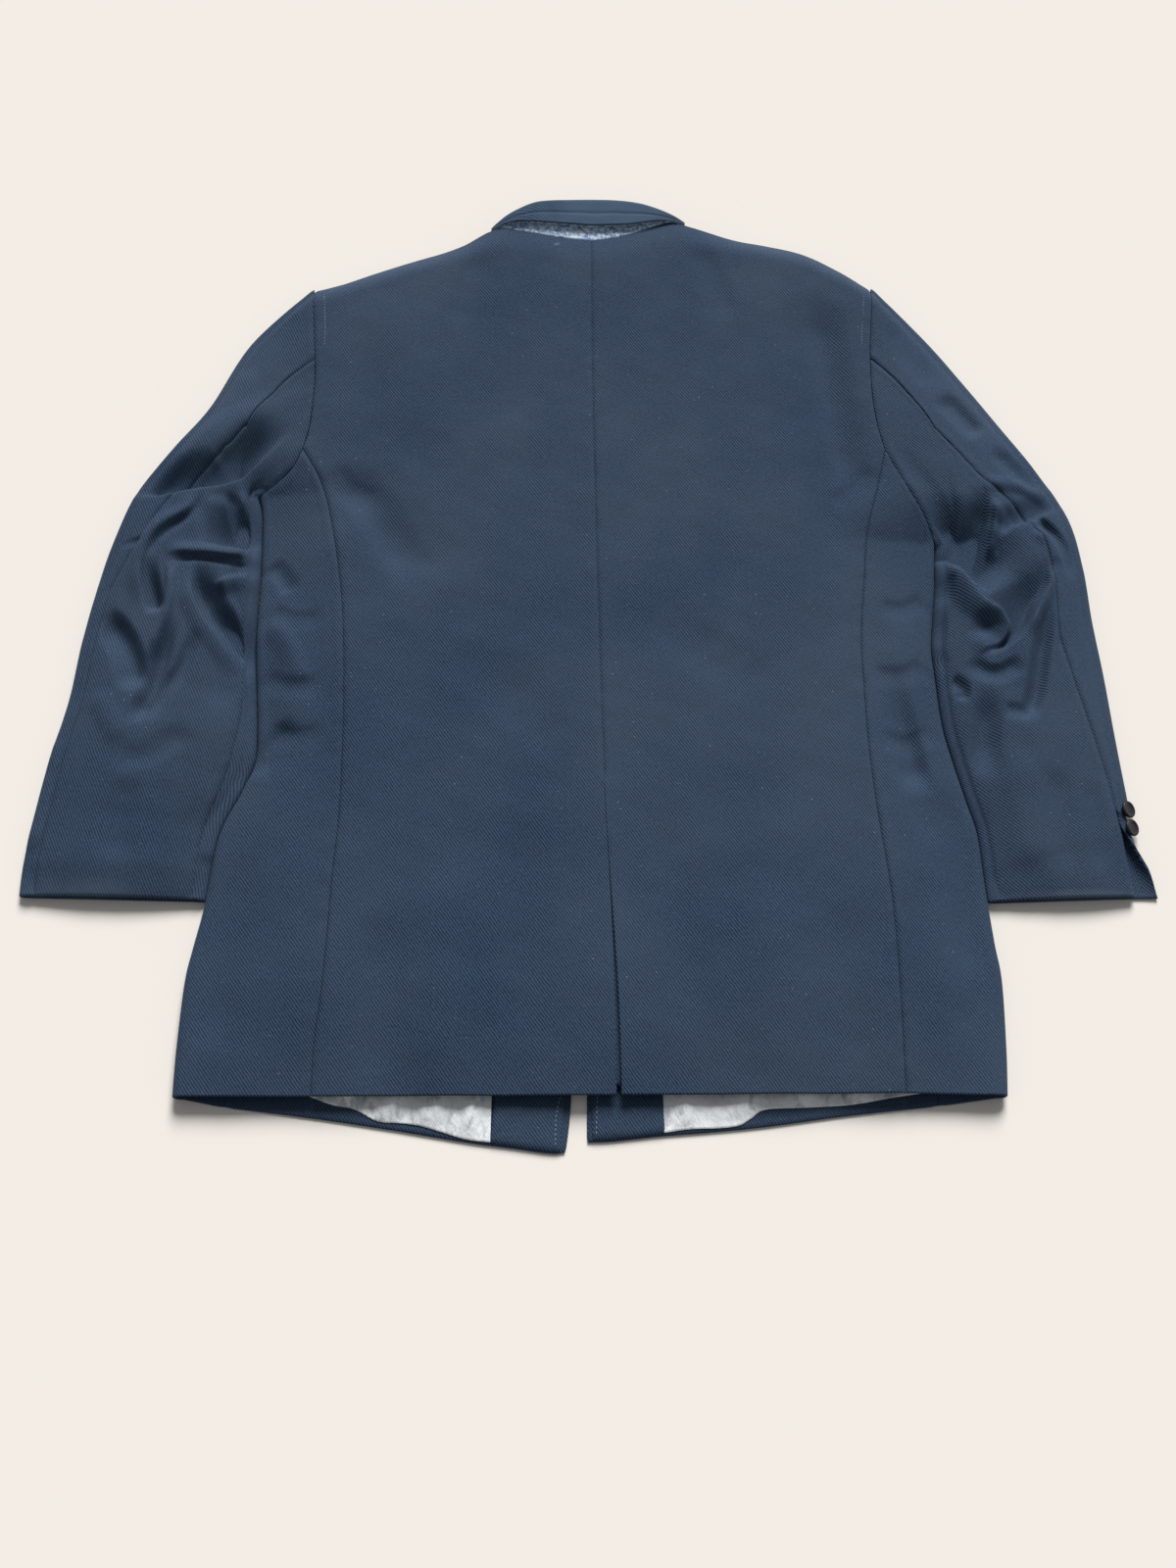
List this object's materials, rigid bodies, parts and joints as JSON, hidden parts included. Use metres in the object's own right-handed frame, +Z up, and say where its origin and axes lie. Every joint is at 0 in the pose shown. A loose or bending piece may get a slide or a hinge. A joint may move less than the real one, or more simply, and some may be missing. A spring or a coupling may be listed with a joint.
{
  "type": "blazer",
  "caption": "Navy twill blazer laid flat on its fronts, back up, with a centre vent, folded collar and both sleeves beside the body.",
  "frame": {"origin": "middle of the box's underside, on the surface that the blazer lies on", "axes": "+Z up from that surface, +Y from the hem towards the collar, +X to the right of the back as seen"},
  "size_m": [0.8803, 0.85, 0.034],
  "materials": {
    "navy_twill": "matte twill",
    "undercollar_felt": "matte felt",
    "silver_lining": "satin",
    "dark_button": "semi gloss"
  },
  "bodies": {
    "root": {"back_left": "navy_twill", "back_right": "navy_twill", "collar": "navy_twill", "collar_end_left": "navy_twill", "collar_end_right": "navy_twill", "cuff_button_left_lower": "dark_button", "cuff_button_left_upper": "dark_button", "cuff_button_right_lower": "dark_button", "cuff_button_right_upper": "dark_button", "facing_left": "navy_twill", "facing_right": "navy_twill", "front_button_lower": "dark_button", "front_button_upper": "dark_button", "front_left": "navy_twill", "front_right": "navy_twill", "lapel_left": "navy_twill", "lapel_right": "navy_twill", "lining_left": "silver_lining", "lining_right": "silver_lining", "side_left": "navy_twill", "side_right": "navy_twill", "topsleeve_left": "navy_twill", "topsleeve_right": "navy_twill", "undercollar": "undercollar_felt", "undersleeve_left": "navy_twill", "undersleeve_right": "navy_twill", "vent_underlap": "navy_twill"}
  },
  "joints": []
}
